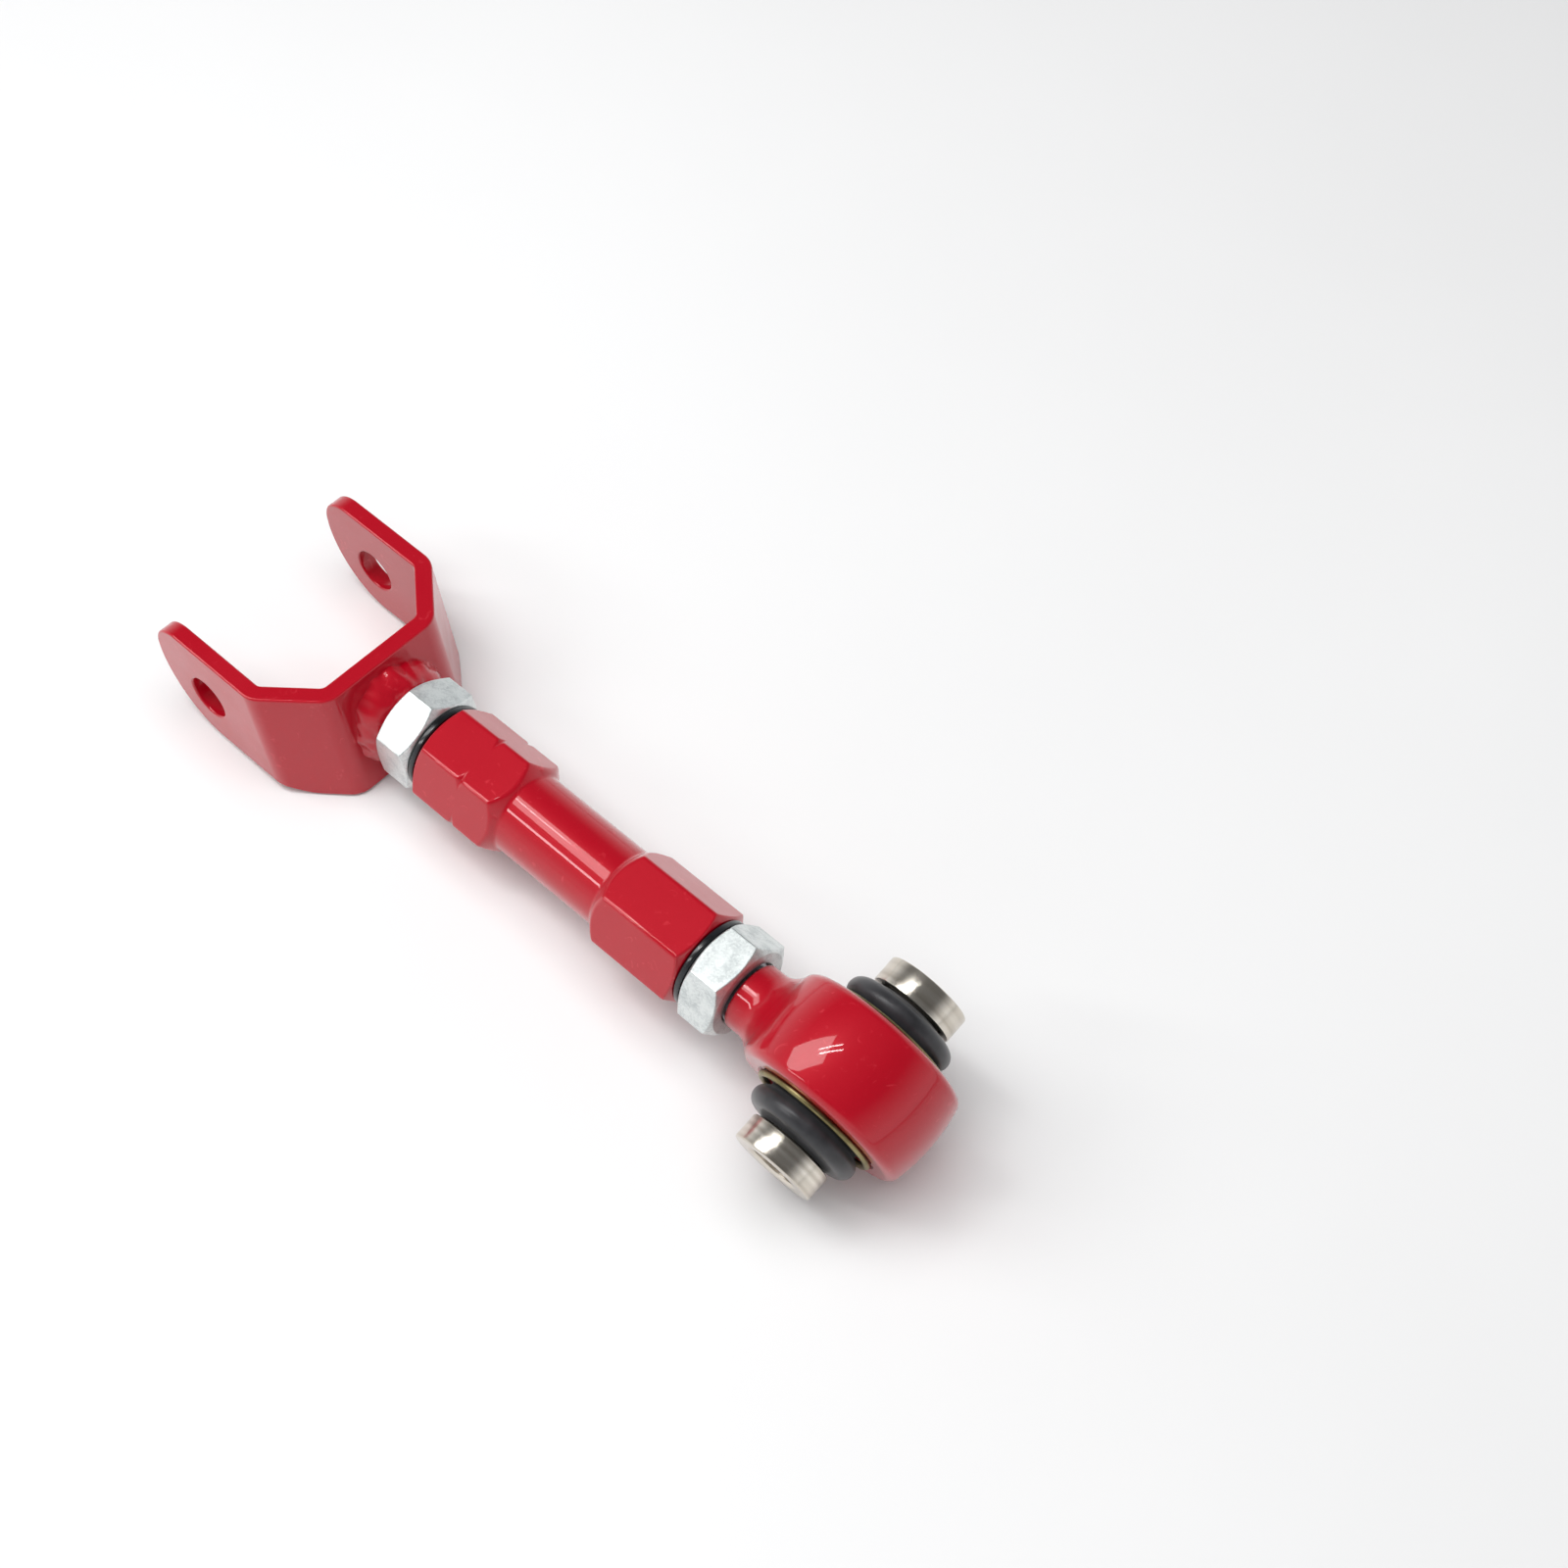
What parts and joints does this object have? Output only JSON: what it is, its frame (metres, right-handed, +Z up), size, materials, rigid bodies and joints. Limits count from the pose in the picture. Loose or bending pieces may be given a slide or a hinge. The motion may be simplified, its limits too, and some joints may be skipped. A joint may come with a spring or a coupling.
{
  "type": "adjustable rear suspension control arm",
  "caption": "Adjustable rear control arm: a bent-plate fork on a threaded stud, a hex turnbuckle sleeve with jam nuts, and a threaded eye with a booted spherical bearing.",
  "frame": {"origin": "under the middle of the arm's length at its shortest setting, level with the eye's lowest point", "axes": "+X along the arm from the fork to the eye, +Y along the fork's bolt axis, +Z up, with the fork's straight upper edge on top"},
  "size_m": [0.2526, 0.0662, 0.0544],
  "materials": {
    "red_paint": "gloss powder coat with metallic base",
    "zinc_plate": "bright zinc plate, slightly spangled",
    "circlip_steel": "phosphated spring steel",
    "black_oxide": "gloss black",
    "gold_zinc": "yellow passivated spring wire",
    "boot_rubber": "satin moulded rubber",
    "stainless": "fine turned stainless",
    "bearing_steel": "ground and polished",
    "bearing_liner": "woven low-friction liner"
  },
  "bodies": {
    "fork": {"fork_bracket": "red_paint", "fork_stud": "red_paint", "fork_weld": "red_paint"},
    "lock_rings": {"lock_ring_fork": "black_oxide", "lock_ring_eye": "black_oxide"},
    "sleeve": {"turnbuckle_sleeve": "red_paint"},
    "jam_nut_fork": {"jam_nut_fork": "zinc_plate"},
    "jam_nut_eye": {"jam_nut_eye": "zinc_plate"},
    "eye": {"eye_housing": "red_paint", "bearing_race": "bearing_steel", "race_circlip_left": "circlip_steel", "race_circlip_right": "circlip_steel", "boot_ring_left": "gold_zinc", "boot_ring_right": "gold_zinc"},
    "swivel": {"bearing_liner": "bearing_liner", "dust_boot_left": "boot_rubber", "dust_boot_right": "boot_rubber"},
    "ball": {"bearing_ball": "bearing_steel", "spacer_left": "stainless", "spacer_right": "stainless"}
  },
  "joints": [
    {"name": "lock_ring_travel", "type": "slide", "parent": "fork", "child": "lock_rings", "axis": [1, 0, 0], "range_m": [0, 0.01201]},
    {"name": "sleeve_turn", "type": "hinge", "parent": "lock_rings", "child": "sleeve", "pos_m": [0, 0, 0.02722], "axis": [-1, 0, 0], "range_deg": [0, 2888]},
    {"name": "length_travel", "type": "slide", "parent": "fork", "child": "eye", "axis": [1, 0, 0], "range_m": [0, 0.024]},
    {"name": "jam_nut_fork_turn", "type": "hinge", "parent": "sleeve", "child": "jam_nut_fork", "pos_m": [-0.05486, 0, 0.02722], "axis": [1, 0, 0], "range_deg": [0, 150]},
    {"name": "jam_nut_eye_turn", "type": "hinge", "parent": "sleeve", "child": "jam_nut_eye", "pos_m": [0.05864, 0, 0.02722], "axis": [1, 0, 0], "range_deg": [0, 150]},
    {"name": "bearing_turn", "type": "hinge", "parent": "eye", "child": "swivel", "pos_m": [0.09999, 0, 0.02722], "axis": [0, 0.9686, 0.2487], "continuous": true},
    {"name": "bearing_tilt", "type": "hinge", "parent": "swivel", "child": "ball", "pos_m": [0.09999, 0, 0.02722], "axis": [1, 0, 0], "range_deg": [-12, 12], "deforming": ["dust_boot_left", "dust_boot_right"]}
  ],
  "couplings": [
    {"joint": "lock_ring_travel", "follows": "length_travel", "ratio": 0.5},
    {"joint": "sleeve_turn", "follows": "length_travel", "rad_per_m": 2094.4}
  ]
}
